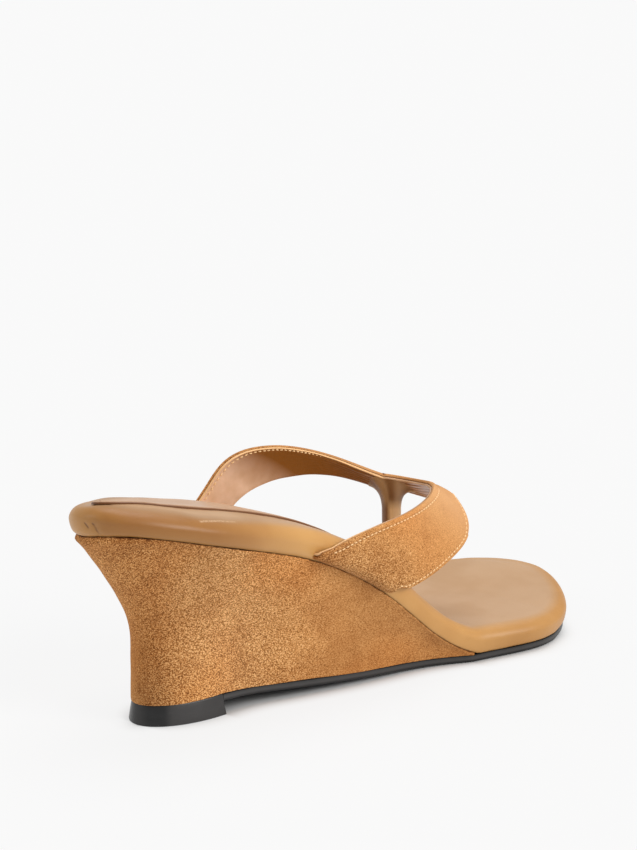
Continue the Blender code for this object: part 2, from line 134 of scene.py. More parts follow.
# Share of the wedge's height down from its rim, way in at the back, at the side
WEDGE_WALL = (
    (0.00, 0.00, 0.00),
    (0.12, 0.19, 0.16),
    (0.28, 0.48, 0.36),
    (0.43, 0.75, 0.52),
    (0.59, 0.95, 0.66),
    (0.72, 1.00, 0.77),
    (0.87, 1.00, 0.89),
    (1.00, 0.99, 1.00),
)

# Share of the way from the top lift to the ball, way out to the ball's edge
WAIST = (
    (0.00, 0.000),
    (0.13, 0.026),
    (0.25, 0.150),
    (0.43, 0.350),
    (0.65, 0.540),
    (0.84, 0.700),
    (0.96, 0.910),
    (1.00, 1.000),
)

# Place along the footbed, height of the strap's arch
STRAP_HEIGHT = (
    (0.306, 0.88),
    (0.408, 0.88),
    (0.510, 0.97),
    (0.612, 1.04),
    (0.714, 0.90),
    (0.816, 0.62),
)

# Share of the strap's girth, places of its rear edge and its front edge
STRAP_EDGES = (
    (0.00, 0.316, 0.387),
    (0.10, 0.367, 0.434),
    (0.22, 0.435, 0.542),
    (0.35, 0.622, 0.680),
    (0.48, 0.713, 0.770),
    (0.60, 0.678, 0.728),
    (0.72, 0.615, 0.700),
    (0.85, 0.502, 0.624),
    (1.00, 0.339, 0.493),
)

# Share of the toe post's flare height, share of its spread
POST_FLARE = ((0.00, 0.00), (0.30, 0.08), (0.60, 0.30), (0.80, 0.58), (1.00, 1.00))

# Fineness of the pieces
FOOTBED_STATIONS = 200
FOOTBED_ROWS = 30
FOOTBED_TOP_COLUMNS = 26
WEDGE_STATIONS = 130
WEDGE_ROWS = 52
SOLE_STATIONS = 90
SOCK_STATIONS = 110
STRAP_ROWS = 230
STRAP_COLUMNS = 40
TAIL_TURNS = 7
BAND_EDGE_LOOPS = 5
POST_SIDES = 56
POST_ROWS = 26

# Layers of the strap, out from the last
LINING_THICKNESS = 1.15 * MM
SUEDE_START = 1.4 * MM
TAIL_RADIUS = 0.6 * MM
TAIL_REACH = 4 * MM

# The strap's way in plan over the post, along which the post's flare is widest
STRAP_WAY_AT_POST = np.array([0.5, 0.866])

# Thread
STITCH_PITCH = 2.1 * MM
STITCH_LENGTH = 1.5 * MM
THREAD_RADIUS = 0.24 * MM
REAR_STITCH_INSET = 2.9 * MM
FRONT_STITCH_INSET = 1.7 * MM
LINING_STITCH_INSET = 1.5 * MM

# Creases in the leather at the back of the heel, darkened with painted shade: both ends, in the
# imported frame
HEEL_CREASES = (
    ((0.0093, -0.0439, 0.0815), (0.0100, -0.0437, 0.0802)),
    ((0.0100, -0.0437, 0.0802), (0.0108, -0.0426, 0.0776)),
    ((0.0061, -0.0445, 0.0812), (0.0071, -0.0442, 0.0798)),
)

# Painted highlights: pale glints of the light along the rolled edge of that leather
HEEL_GLINTS = (
    ((0.0300, -0.0124, 0.0800), (0.0309, 0.0037, 0.0770)),
    ((0.0250, -0.0330, 0.0838), (0.0262, -0.0290, 0.0836)),
)

# Soft forms of the covers: how far each stands out or in
HEEL_PADDING = 1.6 * MM
HEEL_EDGE_RISE = 1.2 * MM
HEEL_EDGE_DIP = 1.6 * MM
SOCK_DRAWN_IN = 1.8 * MM
BED_CROWN = 0.35 * MM
SOCK_CROWN = 0.3 * MM
RIM_FLARE = 1.9 * MM
RIM_FOLD = 0.2 * MM
CREASE_DEPTH = 0.3 * MM
CREASE_WIDTH = 1.1 * MM
POST_DIMPLE = 0.55 * MM
POST_DIMPLE_WIDTH = 6.5 * MM

# Waves of the covers: depth and length in millimetres, and the number they are drawn from
WRAP_WAVES = ((0.09, 24, 3), (0.04, 9, 4))
SOCK_WAVES = ((0.05, 18, 8),)
WEDGE_WAVES = ((0.28, 34, 11), (0.1, 12, 12))
STRAP_WAVES = ((0.1, 16, 21), (0.14, 38, 22))
LINING_WAVES = ((0.096, 11, 31),)

# Suede's colours from the pits of its nap to its tips, as screen values
SUEDE_COLOURS = (
    (0.24, (128, 80, 36)),
    (0.40, (178, 120, 66)),
    (0.52, (199, 141, 83)),
    (0.64, (211, 154, 95)),
    (0.80, (238, 188, 130)),
)

# Leather's colours as screen values: its face, its rolled side, and the tint of its painted shade
# The wrap's face is paler and pinker than its side: a painted reflection of the light on its top
WRAP_COLOURS = ((189, 152, 115), (197, 147, 85), (191, 171, 142))
SOCK_COLOURS = ((194, 157, 126), (112, 70, 36), (190, 172, 150))
# The post's pale face is painted light for its lit half; its depth tint is its painted shade
POST_COLOURS = ((240, 200, 146), (240, 200, 146), (134, 110, 84))

# Camera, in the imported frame, and the way in plan that runs to the right in its view
CAMERA_PLACE = (0.8024, -0.8024, 0.3809)
ACROSS_VIEW = (0.74, 0.672)
CAMERA_TILT = 76.403
CAMERA_TURN = 42.26
CAMERA_LENS = 141.01

# Studio: brightness of the backdrop, and how the floor shares shadow and glow
WORLD_LIGHT = 0.5
BACKDROP = 0.957
FLOOR_ALBEDO = 0.70
FLOOR_FAR_SHARE = 0.12
FLOOR_SHADOW_REACH = 10 * MM
FLOOR_EDGE = 40.0

# Lights: the direction they shine from, strength, size in degrees and colour
LIGHTS = (
    ("overhead_light", (-0.2, 0.4, 1.5), 1.45, 45, (1.0, 1.0, 1.0)),
    ("key_light", (1.4, 0.35, 0.8), 1.9, 32, (1.0, 0.99, 0.97)),
    ("left_light", (-0.9, -1.3, 0.7), 0.36, 25, (1.0, 0.99, 0.98)),
)


def smooth_curve(places, values):
    """Return a natural cubic curve through the values at the places."""
    places = np.array(places, float)
    values = np.array(values, float)
    steps = np.diff(places)
    count = len(places)
    matrix = np.eye(count)
    sums = np.zeros(count)
    slopes = np.diff(values) / steps
    for i in range(1, count - 1):
        matrix[i, i - 1:i + 2] = steps[i - 1], 2 * (steps[i - 1] + steps[i]), steps[i]
        sums[i] = 6 * (slopes[i] - slopes[i - 1])
    bends = np.linalg.solve(matrix, sums)

    def at(place):
        place = np.clip(np.asarray(place, float), places[0], places[-1])
        i = np.clip(np.searchsorted(places, place) - 1, 0, count - 2)
        step = steps[i]
        before = (places[i + 1] - place) / step
        after = (place - places[i]) / step
        straight = before * values[i] + after * values[i + 1]
        bend = (before**3 - before) * bends[i] + (after**3 - after) * bends[i + 1]
        return straight + bend * step**2 / 6

    return at


def table_curves(table):
    """Return the smooth curves of a table's columns over its first column."""
    places, *columns = zip(*table)
    return [smooth_curve(places, column) for column in columns]


OUTER_HALF, INNER_HALF = table_curves(OUTLINE)
RISE_CURVE, THICKNESS_CURVE, UNDERCUT_CURVE = table_curves(FOOTBED_SECTION)
ROLL_UNDER, ROLL_OVER, ROLL_UP = table_curves(ROLLED_EDGE)
WALL_BACK, WALL_SIDE = table_curves(WEDGE_WALL)
WAIST_CURVE = table_curves(WAIST)[0]
STRAP_HEIGHT_CURVE = table_curves(STRAP_HEIGHT)[0]
REAR_EDGE, FRONT_EDGE = table_curves(STRAP_EDGES)
FLARE_CURVE = table_curves(POST_FLARE)[0]


def rising(value, start, end):
    """0 up to the start, 1 past the end and straight between them."""
    return np.clip((value - start) / (end - start), 0, 1)


def bell(distance, width):
    """1 at no distance, fading to nothing beyond the width."""
    return np.exp(-(distance / width)**2)


def end_rounding(share):
    """Share of the full width left by the round heel and the round toe."""
    into_heel = rising(share, HEEL_ROUND, 0)
    into_toe = rising(share, 1 - TOE_ROUND, 1)
    return np.sqrt(1 - into_heel**2) * np.sqrt(1 - into_toe**2)


def rim(y, side):
    """X of the footbed's widest line at y, on the outer (1) or inner (-1) side."""
    share = np.asarray(y) / FOOTBED_LENGTH
    half = OUTER_HALF(share) if side > 0 else INNER_HALF(share)
    return side * BALL_WIDTH * half * end_rounding(share)


def seat_height(y):
    """Height of the footbed's underside."""
    share = np.asarray(y) / FOOTBED_LENGTH
    return GROUND_GAP + HEEL_RISE * np.maximum(RISE_CURVE(share), 0)


def bed_height(y):
    """Height of the footbed's upper face."""
    share = np.asarray(y) / FOOTBED_LENGTH
    return seat_height(y) + FOOTBED_THICKNESS * THICKNESS_CURVE(share)


def undercut(y):
    """How far the footbed's seam lies in from its widest line."""
    return FOOTBED_UNDERCUT * UNDERCUT_CURVE(np.asarray(y) / FOOTBED_LENGTH)


def tread_top(y):
    """Height of the outsole's upper face."""
    y = np.asarray(y, float)
    along = rising(y, LIFT_FRONT, WEDGE_LENGTH)
    waist = WAIST_RISE * (1 - along)**WAIST_CURVE_POWER
    toe = seat_height(y) - GROUND_GAP
    return OUTSOLE_THICKNESS + np.where(y < BALL_MIDDLE, waist, toe)


def stations(first, last, count, round_start, round_end):
    """Places from first to last, set closer together at each round end."""
    if not (round_start or round_end):
        return np.linspace(first, last, count + 1)
    turn_start = 0.0 if round_start else np.pi / 2
    turn_end = np.pi if round_end else np.pi / 2
    wave = np.cos(np.linspace(turn_start, turn_end, count + 1))
    return first + (last - first) * (wave[0] - wave) / (wave[0] - wave[-1])


def outline_pairs(outer_x, inner_x, y):
    """Rows of a plan outline: points (outer or inner side, station, x and y)."""
    return np.array([np.stack([outer_x, y], -1), np.stack([inner_x, y], -1)])


def footbed_pairs(y):
    """The footbed's widest outline at the stations."""
    return outline_pairs(rim(y, 1), rim(y, -1), y)


def inset_pairs(pairs, distance):
    """Move a plan outline inwards, square to its edge."""
    along = np.gradient(pairs, axis=1)
    along /= np.linalg.norm(along, axis=2, keepdims=True)
    inward = np.stack([-along[..., 1], along[..., 0]], -1)
    inward[1] *= -1
    for end, direction in ((0, 1.0), (-1, -1.0)):
        if np.allclose(pairs[0, end], pairs[1, end]):
            inward[:, end] = (0.0, direction)
    return pairs + inward * np.reshape(distance, (1, -1, 1))


def ring_points(pairs, heights):
    """A closed ring: the outer side from the back, then the inner side back."""
    points = np.concatenate([pairs, heights[..., None]], axis=2)
    return np.vstack([points[0], points[1, ::-1]])


def waves(points, length, seed):
    """Soft hills and hollows, about -1 to 1, whose length is the given one."""
    draw = np.random.default_rng(seed)
    total = np.zeros(points.shape[:-1])
    for _ in range(8):
        way = draw.normal(size=3)
        way /= np.linalg.norm(way)
        turns = points @ way * 2 * np.pi / (length * draw.uniform(0.75, 1.5))
        total += np.sin(turns + draw.uniform(0, 2 * np.pi))
    return total / 4


def uneven(points, table):
    """How far a cover stands out in the waves of a table."""
    return sum(depth * MM * waves(points, length * MM, seed) for depth, length, seed in table)


def across_view(points):
    """How far right of the origin the points lie in the camera's view, in millimetres."""
    return (points[:, 0] * ACROSS_VIEW[0] + points[:, 1] * ACROSS_VIEW[1]) / MM


def heel_cushion(points):
    """Extra padding under the sock's outer edge at the heel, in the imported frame."""
    middle = 0.019 - 0.010 * rising(points[:, 1], -0.018, -0.036)
    beside = bell(points[:, 0] - middle, 9 * MM)
    return HEEL_PADDING * beside * rising(points[:, 1], 0.055, 0.005)


def heel_settling(points, upper_share):
    """How the heel's edge rises on the outer side, and its underside dips at the very back."""
    along = across_view(points)
    rise = HEEL_EDGE_RISE * bell(along + 9, 17) * rising(points[:, 0], 0, 0.014)
    return rise - HEEL_EDGE_DIP * rising(along, -21, -31) * (1 - upper_share)


def line_distance(points, start, end):
    """Distance of each point from a short line."""
    start = np.array(start)
    way = np.array(end) - start
    share = np.clip((points - start) @ way / (way @ way), 0, 1)
    return np.linalg.norm(points - start - share[..., None] * way, axis=-1)


# Shader writing


class Signal:
    """A shader socket that takes part in Python arithmetic."""

    def __init__(self, finish, socket):
        self.finish = finish
        self.socket = socket

    def math(self, operation, first, second):
        return self.finish.node("ShaderNodeMath", {"operation": operation}, {0: first, 1: second})

    def __add__(self, other):
        return self.math("ADD", self, other)

    def __radd__(self, other):
        return self.math("ADD", other, self)

    def __sub__(self, other):
        return self.math("SUBTRACT", self, other)

    def __rsub__(self, other):
        return self.math("SUBTRACT", other, self)

    def __mul__(self, other):
        return self.math("MULTIPLY", self, other)

    def __rmul__(self, other):
        return self.math("MULTIPLY", other, self)


class Finish:
    """One material, with the numbers that are the same all over it."""

    def __init__(self, name, constants):
        self.material = bpy.data.materials.new(name)
        self.material.use_nodes = True
        self.tree = self.material.node_tree
        self.shader = self.tree.nodes["Principled BSDF"]
        for label, value in constants.items():
            self.shader.inputs[label].default_value = value

    def node(self, kind, settings, values, output=0):
        """Add a node and return one of its outputs."""
        made = self.tree.nodes.new(kind)
        for label, value in settings.items():
            if label == "stops":
                for stop in value[2:]:
                    made.color_ramp.elements.new(stop[0])
                for element, (place, colour) in zip(made.color_ramp.elements, value):
                    element.position = place
                    element.color = colour
            else:
                setattr(made, label, value)
        for label, value in values.items():
            if isinstance(value, Signal):
                self.tree.links.new(value.socket, made.inputs[label])
            else:
                made.inputs[label].default_value = value
        return Signal(self, made.outputs[output])

    def place(self):
        """Place on the sandal, in metres."""
        return self.node("ShaderNodeTexCoord", {}, {}, 3)

    def mark(self, name):
        """A number kept on the mesh."""
        return self.node("ShaderNodeAttribute", {"attribute_name": name}, {}, 2)

    def noise(self, place, size, detail=2.0, roughness=0.5):
        """Cloudy noise whose clumps have the given size."""
        values = {"Vector": place, "Scale": 1 / size, "Detail": detail, "Roughness": roughness}
        return self.node("ShaderNodeTexNoise", {}, values)

    def cells(self, place, size):
        """Distance to the middle of the nearest cell of the given size."""
        return self.node("ShaderNodeTexVoronoi", {}, {"Vector": place, "Scale": 1 / size})

    def stretch(self, place, factors):
        """Stretch the places by a factor for each axis."""
        return self.node("ShaderNodeVectorMath", {"operation": "MULTIPLY"}, {0: place, 1: factors})

    def step(self, value, start, end):
        """0 before the start, 1 after the end and smooth between them."""
        values = {"Value": value, "From Min": start, "From Max": end}
        return self.node("ShaderNodeMapRange", {"interpolation_type": "SMOOTHSTEP"}, values)

    def mix(self, share, first, second, blend="MIX"):
        """Mix two colours."""
        settings = {"data_type": "RGBA", "blend_type": blend}
        return self.node("ShaderNodeMix", settings, {0: share, 6: first, 7: second}, 2)

    def tint(self, share, colour, tint):
        """Multiply a colour by a tint as far as the share says."""
        return self.mix(share, colour, tint, "MULTIPLY")

    def ramp(self, value, stops):
        """Turn a number into a colour."""
        return self.node("ShaderNodeValToRGB", {"stops": stops}, {"Fac": value})

    def near_line(self, place, start, end, width):
        """1 on a short line, fading to 0 at the width."""
        way = np.array(end) - np.array(start)
        per_length = tuple(way / (way @ way))
        vector = "ShaderNodeVectorMath"
        offset = self.node(vector, {"operation": "SUBTRACT"}, {0: place, 1: start})
        reach = self.node(vector, {"operation": "DOT_PRODUCT"}, {0: offset, 1: per_length}, 1)
        share = self.node("ShaderNodeClamp", {}, {"Value": reach})
        foot = self.node(vector, {"operation": "SCALE"}, {0: tuple(way), "Scale": share})
        apart = self.node(vector, {"operation": "DISTANCE"}, {0: offset, 1: foot}, 1)
        return 1 - self.step(apart, 0.0, width)

    def feed(self, label, signal):
        """Lead a signal to the shader."""
        self.tree.links.new(signal.socket, self.shader.inputs[label])

    def emboss(self, height, depth, strength=1.0):
        """Lead a height to the shader's normal; depth is in metres."""
        values = {"Strength": strength, "Distance": depth, "Height": height}
        self.feed("Normal", self.node("ShaderNodeBump", {}, values))


def paint(red, green, blue):
    """A colour from screen values out of 255, as the shader takes it."""
    shares = np.array([red, green, blue]) / 255
    linear = np.where(shares <= 0.04045, shares / 12.92, ((shares + 0.055) / 1.055)**2.4)
    return (*[round(float(share), 4) for share in linear], 1.0)


def grey(level):
    """A grey of a level from 0 to 1, as the shader takes it."""
    return (level, level, level, 1.0)


def suede_finish(name, rim_shade):
    """Brushed suede: fine nap with pits and flecks, and soft brushed patches.

    The marks smooth, shade and light say where its nap lies flat, where
    painted shade darkens it and where painted light makes it paler.
    """
    finish = Finish(name, {
        "Roughness": 0.92,
        "Specular IOR Level": 0.12,
        "Sheen Weight": 0.18,
        "Sheen Roughness": 0.5,
        "Sheen Tint": paint(255, 205, 150),
    })
    place = finish.place()
    leaning = finish.stretch(place, (1.0, 0.62, 1.0))
    nap = finish.noise(leaning, 0.4 * MM, 2.0, 0.6)
    clumps = finish.noise(leaning, 1.5 * MM, 2.0, 0.55)
    brushed = finish.noise(place, 17 * MM, 3.0, 0.55)
    broad = finish.noise(place, 48 * MM, 1.0)
    smooth = finish.mark("smooth")
    grain = ((nap - 0.5) * 2.8 + (clumps - 0.5) * 0.35) * (1.0 - smooth * 0.82) + 0.5
    colour = finish.ramp(grain, [(stop, paint(*shade)) for stop, shade in SUEDE_COLOURS])
    colour = finish.tint(finish.step(brushed, 0.42, 0.64), colour, paint(238, 231, 224))
    colour = finish.tint(1 - finish.step(broad, 0.4, 0.6), colour, paint(255, 244, 230))
    # Painted shade where the mark shade says, then painted light where the mark light says
    colour = finish.tint(finish.mark("shade"), colour, paint(196, 184, 172))
    colour = finish.mix(finish.mark("light") * 0.7, colour, paint(216, 172, 126))
    # Painted shadow: a dark brown fringe along the rim, in the seam under the footbed
    if rim_shade:
        from_rim = finish.mark("from_rim") + (clumps - 0.5) * 0.9
        colour = finish.mix(finish.step(from_rim, 0.0, 0.45), paint(86, 46, 20), colour)
    finish.feed("Base Color", colour)
    finish.feed("Roughness", 0.86 + nap * 0.12)
    finish.emboss(grain + clumps * 0.5, 0.35 * MM, 0.55)
    return finish.material


def leather_finish(name, colours, roughness, creases=(), glints=()):
    """Smooth satin leather: the mark rolled says where it turns, the other mark where painted shade
    darkens it.
    """
    face, side, depth = [paint(*colour) for colour in colours]
    finish = Finish(name, {"Specular IOR Level": 0.35, "Coat Roughness": 0.3, "Coat Weight": 0.06})
    place = finish.place()
    cloud = finish.noise(place, 26 * MM, 3.0, 0.5)
    pores = finish.cells(place, 0.9 * MM)
    fine = finish.noise(place, 0.5 * MM, 2.0)
    colour = finish.mix(finish.mark("rolled"), face, side)
    colour = finish.tint(finish.step(cloud, 0.38, 0.66), colour, paint(245, 240, 232))
    # Painted shade: the tint depth darkens the colour where the mark says
    colour = finish.tint(finish.mark("deep"), colour, depth)
    height = pores * 0.35 + fine * 0.35
    # Painted shade darkens the creases
    for start, end in creases:
        line = finish.near_line(place, start, end, 0.7 * MM)
        colour = finish.mix(line * 0.8, colour, paint(96, 58, 28))
        height = height - line * 3.0
    # Painted highlights: pale glints along the given lines
    for start, end in glints:
        line = finish.near_line(place, start, end, 1.0 * MM) * finish.step(fine, 0.35, 0.6)
        colour = finish.mix(line * 0.55, colour, paint(240, 208, 172))
    finish.feed("Base Color", colour)
    finish.feed("Roughness", roughness + (cloud - 0.5) * 0.16 + (fine - 0.5) * 0.08)
    finish.emboss(height, 0.12 * MM, 0.5)
    return finish.material


def lining_finish(name):
    """Glossy smooth lining with fine lengthwise creases and a pale folded edge."""
    finish = Finish(name, {"Specular IOR Level": 0.22, "Coat Roughness": 0.2})
    place = finish.place()
    cloud = finish.noise(place, 14 * MM, 3.0, 0.55)
    fine = finish.noise(place, 0.6 * MM, 2.0)
    edge = finish.mark("edge")
    colour = finish.mix(finish.step(cloud, 0.35, 0.7), paint(228, 190, 160), paint(210, 168, 132))
    # Painted shade: darker brown where the mark says, with less coat there
    colour = finish.mix(finish.mark("deep"), colour, paint(126, 74, 15))
    colour = finish.mix(edge, colour, paint(228, 180, 126))
    finish.feed("Base Color", colour)
    finish.feed("Roughness", 0.34 + (cloud - 0.5) * 0.2 + edge * 0.2)
    finish.feed("Coat Weight", 0.5 - finish.mark("deep") * 0.5)
    finish.emboss(fine * 0.5 + cloud, 0.2 * MM, 0.4)
    return finish.material


def rubber_finish(name, colour, roughness):
    """Black rubber: moulding haze, fine rub marks and a painted grey sheen where its mark says."""
    finish = Finish(name, {"Specular IOR Level": 0.35})
    place = finish.place()
    haze = finish.noise(place, 12 * MM, 3.0)
    rubbed = finish.noise(finish.stretch(place, (1.0, 0.12, 1.0)), 1.1 * MM, 3.0)
    base = finish.mix(finish.step(haze, 0.4, 0.75) * 0.05, colour, paint(120, 120, 122), "ADD")
    # Painted sheen: grey where the mark says
    base = finish.mix(finish.mark("shine") * 0.9, base, paint(76, 73, 72))
    base = finish.mix(finish.step(rubbed, 0.6, 0.8) * 0.12, base, paint(84, 82, 81))
    finish.feed("Base Color", base)
    finish.feed("Roughness", roughness + (haze - 0.5) * 0.18 + (rubbed - 0.5) * 0.12)
    finish.emboss(rubbed + haze, 0.08 * MM, 0.4)
    return finish.material


def thread_finish():
    """Twisted sewing thread, paler than the suede."""
    finish = Finish("sewing_thread", {"Specular IOR Level": 0.3, "Sheen Weight": 0.2})
    place = finish.place()
    twist = finish.noise(place, 0.35 * MM, 1.0)
    finish.feed("Base Color", finish.mix(twist, paint(228, 178, 118), paint(255, 220, 168)))
    finish.feed("Roughness", 0.6 + twist * 0.2)
    finish.emboss(twist, 0.1 * MM, 0.5)
    return finish.material


# Pieces


def grid_faces(rows, columns, closed=True, base=0):
    """Faces of a grid of points, closed round from its last column to its first."""
    faces = []
    for row in range(rows - 1):
        low = base + row * columns
        for k in range(columns if closed else columns - 1):
            j = (k + 1) % columns
            faces.append((low + k, low + j, low + columns + j, low + columns + k))
    return faces


def add_object(name, data):
    """Put an object with the given data into the scene."""
    made = bpy.data.objects.new(name, data)
    bpy.context.scene.collection.objects.link(made)
    return made


def make_mesh(name, points, faces, finish, marks):
    """Make an object of points and faces, with its finish and the marks on its points."""
    mesh = bpy.data.meshes.new(name)
    mesh.from_pydata(points.tolist(), [], faces)
    for label, values in marks.items():
        mesh.attributes.new(label, "FLOAT", "POINT").data.foreach_set("value", values.ravel())
    mesh.materials.append(finish)
    return add_object(name, mesh)


def make_piece(name, points, faces, finish, node=None, marks=None, sharp=60):
    """Make a smooth closed piece that rides on the sandal."""
    piece = make_mesh(name, points - ORIGIN, faces, finish, marks or {})
    mesh = piece.data
    work = bmesh.new()
    work.from_mesh(mesh)
    bmesh.ops.remove_doubles(work, verts=work.verts, dist=1e-6)
    bmesh.ops.recalc_face_normals(work, faces=work.faces)
    work.to_mesh(mesh)
    work.free()
    mesh.shade_smooth()
    mesh.set_sharp_from_angle(angle=np.radians(sharp))
    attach(piece, "root")
    if node:
        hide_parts(node)
    return piece


def mesh_vectors(piece, label):
    """The places or the normals of a piece's points."""
    values = np.empty(len(piece.data.vertices) * 3)
    piece.data.vertices.foreach_get(label, values)
    return values.reshape(-1, 3)


def set_places(piece, places):
    """Move the points of a piece to new places."""
    piece.data.vertices.foreach_set("co", places.ravel())
    piece.data.update()


def press(piece, relief):
    """Move a piece's surface in or out by a relief worked out from its places."""
    places = mesh_vectors(piece, "co")
    normals = mesh_vectors(piece, "normal")
    set_places(piece, places + normals * relief(places, normals)[:, None])


def raise_piece(piece, rise):
    """Lift each point of a piece by a rise worked out from its place."""
    places = mesh_vectors(piece, "co")
    places[:, 2] += rise(places)
    set_places(piece, places)


def layered_points(rings, columns, crown=0.0):
    """Points and faces of rings joined by walls, with both ends closed by rungs.

    The crown is how high the middle of the last ring's rungs stands.
    """
    points = list(rings)
    size = len(rings[0])
    half = size // 2
    faces = grid_faces(len(rings), size)
    start = size * len(rings)
    shares = np.linspace(0, 1, columns + 2)[1:-1, None]
    for ring, base in ((rings[0], 0), (rings[-1], size * (len(rings) - 1))):
        rows = []
        for station in range(half):
            outer = ring[station]
            inner = ring[size - 1 - station]
            middle = []
            if 0 < station < half - 1:
                rung = outer + (inner - outer) * shares
                if base:
                    rung[:, 2] += crown * np.sin(np.pi * shares[:, 0])**0.7
                points.append(rung)
                middle = [start + k for k in range(columns)]
                start += columns
            rows.append([base + station] + middle + [base + size - 1 - station])
        for row, following in zip(rows, rows[1:]):
            if len(row) == len(following):
                for k in range(columns + 1):
                    faces.append((row[k], row[k + 1], following[k + 1], following[k]))
            else:
                faces.append(tuple(row + following[::-1]))
    return np.vstack(points), faces


def ring_marks(levels, rings, points, cap_values):
    """A number for each point: one for each ring, then one for each end cap."""
    size = len(rings[0])
    values = np.repeat(np.array(levels, float), size)
    left = len(points) - len(values)
    ends = np.repeat(np.array(cap_values, float), left // 2)
    return np.concatenate([values, ends])


def make_footbed():
    """The padded board, wrapped in smooth leather that rolls over its edge."""
    y = stations(0, FOOTBED_LENGTH, FOOTBED_STATIONS, True, True)
    pairs = footbed_pairs(y)
    shares = np.linspace(0, 1, FOOTBED_ROWS)
    rings = []
    for share in shares:
        under = max(float(ROLL_UNDER(share)), 0) * undercut(y)
        ring = inset_pairs(pairs, under + max(float(ROLL_OVER(share)), 0) * FOOTBED_ROLLOVER)
        low = seat_height(ring[..., 1])
        thickness = bed_height(ring[..., 1]) - low
        rings.append(ring_points(ring, low + min(float(ROLL_UP(share)), 1) * thickness))
    points, faces = layered_points(rings, FOOTBED_TOP_COLUMNS, BED_CROWN)
    # The top face takes the face colour, a painted reflection paler and pinker than the rolled side
    rolled = ring_marks(1 - rising(shares, 0.72, 0.94), rings, points, (1, 0))
    along = across_view(points - ORIGIN)
    # Painted shade: darker at the back of the heel, most at mid height of the roll, a little low on the
    # side and on the rolled toe
    back = rising(points[:, 1], 0.08, 0.035) * np.clip((along + 34) / 16, 0.2, 1)
    height = np.interp(shares, (0, 0.15, 0.45, 0.75, 1), (0.5, 0.7, 0.95, 0.85, 0.25))
    side = ring_marks(height, rings, points, (1, 0))
    low_side = ring_marks(rising(shares, 0.5, 0), rings, points, (1, 0))
    toe = rolled * rising(along, 106, 126)
    deep = np.clip(side * back + 0.08 * low_side + 0.34 * toe, 0, 1)
    finish = leather_finish("wrap_leather", WRAP_COLOURS, 0.42, HEEL_CREASES, HEEL_GLINTS)
    marks = {"rolled": rolled, "deep": deep}
    piece = make_piece("footbed_wrap", points, faces, finish, "footbed", marks)
    post_foot = np.array([POST_FROM_MIDDLE, POST_FROM_HEEL, bed_height(POST_FROM_HEEL)]) - ORIGIN

    def relief(places, normals):
        depth = uneven(places, WRAP_WAVES)
        depth -= POST_DIMPLE * bell(np.linalg.norm(places - post_foot, axis=1), POST_DIMPLE_WIDTH)
        for start, end in HEEL_CREASES:
            depth -= CREASE_DEPTH * bell(line_distance(places, start, end), CREASE_WIDTH)
        return depth + heel_cushion(places) * np.clip(normals[:, 2], 0, 1)

    def settling(places):
        y = places[:, 1] + ORIGIN[1]
        return heel_settling(places, rising(places[:, 2], seat_height(y), bed_height(y)))

    press(piece, relief)
    raise_piece(piece, settling)


def make_sock():
    """The thin sock, glued on the heel and arch, with a cut edge."""
    y = stations(0, SOCK_LENGTH, SOCK_STATIONS, True, False)
    pairs = inset_pairs(footbed_pairs(y), SOCK_INSET)
    full_width = np.max(pairs[0, :, 0] - pairs[1, :, 0])
    pairs[..., 0] *= SOCK_WIDTH / full_width
    pairs[0, :, 0] -= SOCK_DRAWN_IN * rising(y, 0.08, 0) * rising(pairs[0, :, 0], 0, 0.01)
    rings = []
    profile = (
        (0.0, 0.0), (0.0, 0.45), (0.05, 0.75), (0.25, 0.95),
        (0.6, 1.02), (1.2, 1.0), (2.5, 1.0),
    )
    for inset, up in profile:
        ring = inset_pairs(pairs, inset * MM)
        rings.append(ring_points(ring, bed_height(ring[..., 1]) + 0.15 * MM + up * SOCK_THICKNESS))
    points, faces = layered_points(rings, 16, SOCK_CROWN)
    edge = ring_marks([1, 1, 0.8, 0.15, 0, 0, 0], rings, points, (1, 0))
    finish = leather_finish("sock_leather", SOCK_COLOURS, 0.4)
    marks = {"rolled": edge, "deep": np.zeros(len(points))}
    piece = make_piece("heel_sock", points, faces, finish, "sock", marks)
    press(piece, lambda places, normals: uneven(places, SOCK_WAVES))
    raise_piece(piece, lambda places: heel_cushion(places) + heel_settling(places, 1))


def lift_edge(y, side):
    """X of the top lift's edge: a horseshoe, round at the back."""
    into_back = rising(np.asarray(y), LIFT_FRONT, LIFT_BACK)
    return LIFT_OFFSET + side * LIFT_WIDTH / 2 * np.sqrt(1 - into_back**2)


def foot_edge(y, side):
    """X of the wedge's foot, which is the edge of the lift and of the waist."""
    y = np.asarray(y, float)
    along = rising(y, LIFT_FRONT, WEDGE_LENGTH)
    ball = rim(WEDGE_LENGTH, side) - side * OUTSOLE_INSET
    start = LIFT_OFFSET + side * LIFT_WIDTH / 2
    return np.where(y < LIFT_FRONT, lift_edge(y, side), start + (ball - start) * WAIST_CURVE(along))


